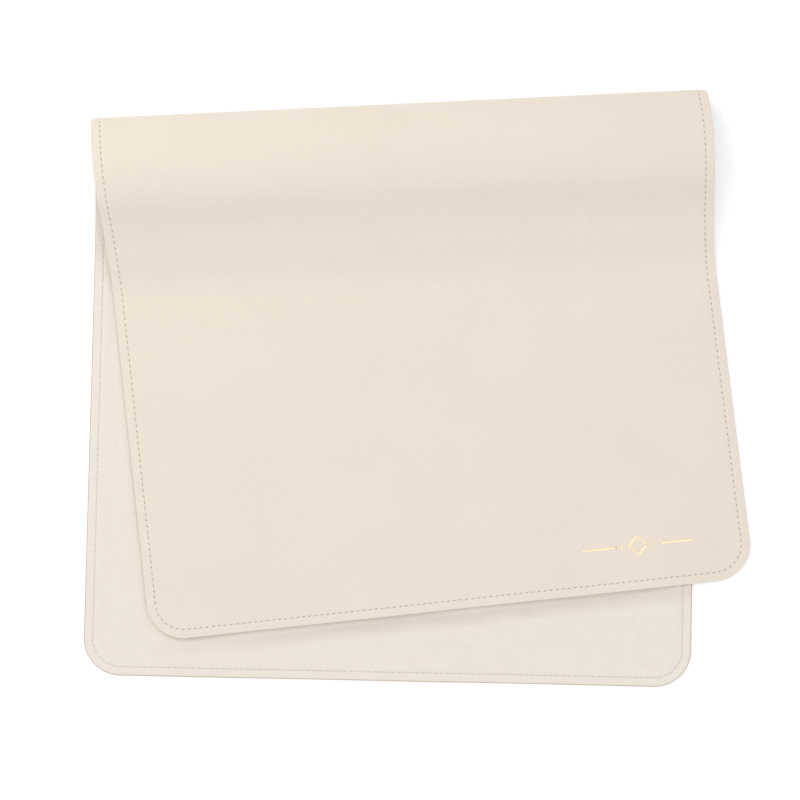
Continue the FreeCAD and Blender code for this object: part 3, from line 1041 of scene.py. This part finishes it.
def attach(piece, before, after):
    """A piece rides on its body, or, where it joins two bodies, is baked in place."""
    if before == after:
        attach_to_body(piece, BODIES[before])
    else:
        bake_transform(piece)


def cad_name(prefix, after, title):
    """The CAD node that a piece stands for."""
    if title == "lower":
        return f"{prefix}_lower"
    if after == LINE_COUNT:
        return f"{prefix}_upper"
    return f"{prefix}_fold_{max(after, 1):02d}"


NARROW = 10 * MM  # a fold piece shorter than this counts as narrow


def declare_sheets(pieces):
    """Measures each piece across the fold and picks out the narrow fold pieces; nothing more is done
    with them.
    """
    edges = np.array([across_of(0, 0), *CUTS, across_of(0, LENGTH)])
    lengths = [float(length) for length in np.diff(edges) / SKEW_COS]
    lower, upper = pieces[0], pieces[-1]
    narrow = [p for p, length in zip(pieces, lengths) if length < NARROW and p not in (lower, upper)]
    for piece, length in zip(pieces, lengths):
        if piece in narrow:
            continue


def build_pad():
    """Every visible piece of the pad, each riding on its body or baked in place, with the CAD parts
    that it stands for hidden.
    """
    leather, suede = leather_material(), suede_material()
    # The last colour of each thread is painted shade, where the thread dives into its needle holes.
    cream = thread_material(
        "needle_thread", linear(222, 211, 196), linear(212, 200, 184), linear(142, 119, 94)
    )
    pale = thread_material(
        "bobbin_thread", linear(220, 212, 202), linear(211, 202, 192), linear(180, 171, 165)
    )
    face = layer_pieces("leather", "leather", leather)
    lining = layer_pieces("lining", "suede", suede)
    kinds = (
        (face, "face_leather", "leather", 0.0),
        (lining, "suede_lining", "suede", THICKNESS),
        (stitch_pieces("needle", "face_stitches", cream), "needle_thread", "needle_thread", 0.0),
        (stitch_pieces("bobbin", "back_stitches", pale), "bobbin_thread", "bobbin_thread", THICKNESS),
    )
    for pieces, prefix, slot, depth in kinds:
        for piece, (title, before, after) in zip(pieces, SECTIONS):
            attach(piece, before, after)
            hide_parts(cad_name(prefix, after, title))
    foil = foil_piece(foil_material())
    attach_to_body(foil, BODIES[-1])
    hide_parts("foil_mark")
    declare_sheets(face)
    declare_sheets(lining)


# ---------------------------------------------------------------- stage

CAMERA_HEIGHT = 1.11
VIEW_WIDTH = 0.5384  # of the floor, at the camera's height
CAMERA_PLACE = (-0.0128, -0.0097)
CAMERA_ROLL = math.radians(0.74)
FLOOR_DARK, FLOOR_LIGHT = (0.945, 0.95, 0.965, 1), (0.955, 0.96, 0.975, 1)
HORIZON, OVERHEAD = (0.52, 0.525, 0.54, 1), (1.22, 1.225, 1.235, 1)


def make_floor():
    """A wide white floor that glows a little, so that only the pad's closest shade shows."""
    bpy.ops.mesh.primitive_plane_add(size=12)
    floor = bpy.context.object
    floor.name = "floor"
    n = Nodes("floor")
    grain = n.noise(n.add("ShaderNodeTexCoord").outputs["Object"], 40.0, 2.0)
    n.feed(n.shader.inputs["Base Color"], n.mix(grain, FLOOR_DARK, FLOOR_LIGHT))
    n.shader.inputs["Roughness"].default_value = 0.9
    n.shader.inputs["Specular IOR Level"].default_value = 0.1
    n.shader.inputs["Emission Color"].default_value = (1, 1, 1, 1)
    n.shader.inputs["Emission Strength"].default_value = 0.08
    floor.data.materials.append(n.material)


def make_light(name, place, size, watts, colour):
    """A round soft light that faces the pad's middle."""
    data = bpy.data.lights.new(name, "AREA")
    data.shape, data.size, data.energy, data.color = "DISK", size, watts, colour
    light = bpy.data.objects.new(name, data)
    light.location = place
    light.rotation_mode = "QUATERNION"
    light.rotation_quaternion = (-light.location).to_track_quat("-Z", "Y")
    bpy.context.scene.collection.objects.link(light)


def make_world():
    """White surroundings, dimmer at the horizon than overhead."""
    world = bpy.data.worlds.new("studio")
    world.use_nodes = True
    tree = world.node_tree
    way = tree.nodes.new("ShaderNodeTexCoord")
    height = tree.nodes.new("ShaderNodeSeparateXYZ")
    shade = tree.nodes.new("ShaderNodeMix")
    shade.data_type = "RGBA"
    shade.inputs[MIX_A].default_value = HORIZON
    shade.inputs[MIX_B].default_value = OVERHEAD
    tree.links.new(way.outputs["Generated"], height.inputs[0])
    tree.links.new(height.outputs["Z"], shade.inputs[MIX_SHARE])
    tree.links.new(shade.outputs[MIX_RESULT], tree.nodes["Background"].inputs["Color"])
    bpy.context.scene.world = world


def make_camera():
    """Straight down, as high as the perspective of the fold asks for."""
    data = bpy.data.cameras.new("camera")
    data.sensor_width = 36
    data.lens = data.sensor_width * CAMERA_HEIGHT / VIEW_WIDTH
    data.clip_start, data.clip_end = 0.05, 50
    camera = bpy.data.objects.new("camera", data)
    camera.location = (*CAMERA_PLACE, CAMERA_HEIGHT)
    camera.rotation_euler = (0, 0, CAMERA_ROLL)
    bpy.context.scene.collection.objects.link(camera)
    bpy.context.scene.camera = camera


def make_stage():
    """Floor, warm key light from behind on the left, cool fill from the front, world, camera."""
    make_floor()
    make_light("key", (-0.95, 0.95, 1.1), size=0.9, watts=8.6, colour=(1.0, 0.985, 0.96))
    make_light("fill", (0.5, -1.1, 1.4), size=1.4, watts=3.4, colour=(0.97, 0.985, 1.0))
    make_world()
    make_camera()
    bpy.context.scene.view_settings.view_transform = "Standard"


make_stage()
build_pad()

bpy.context.view_layer.update()
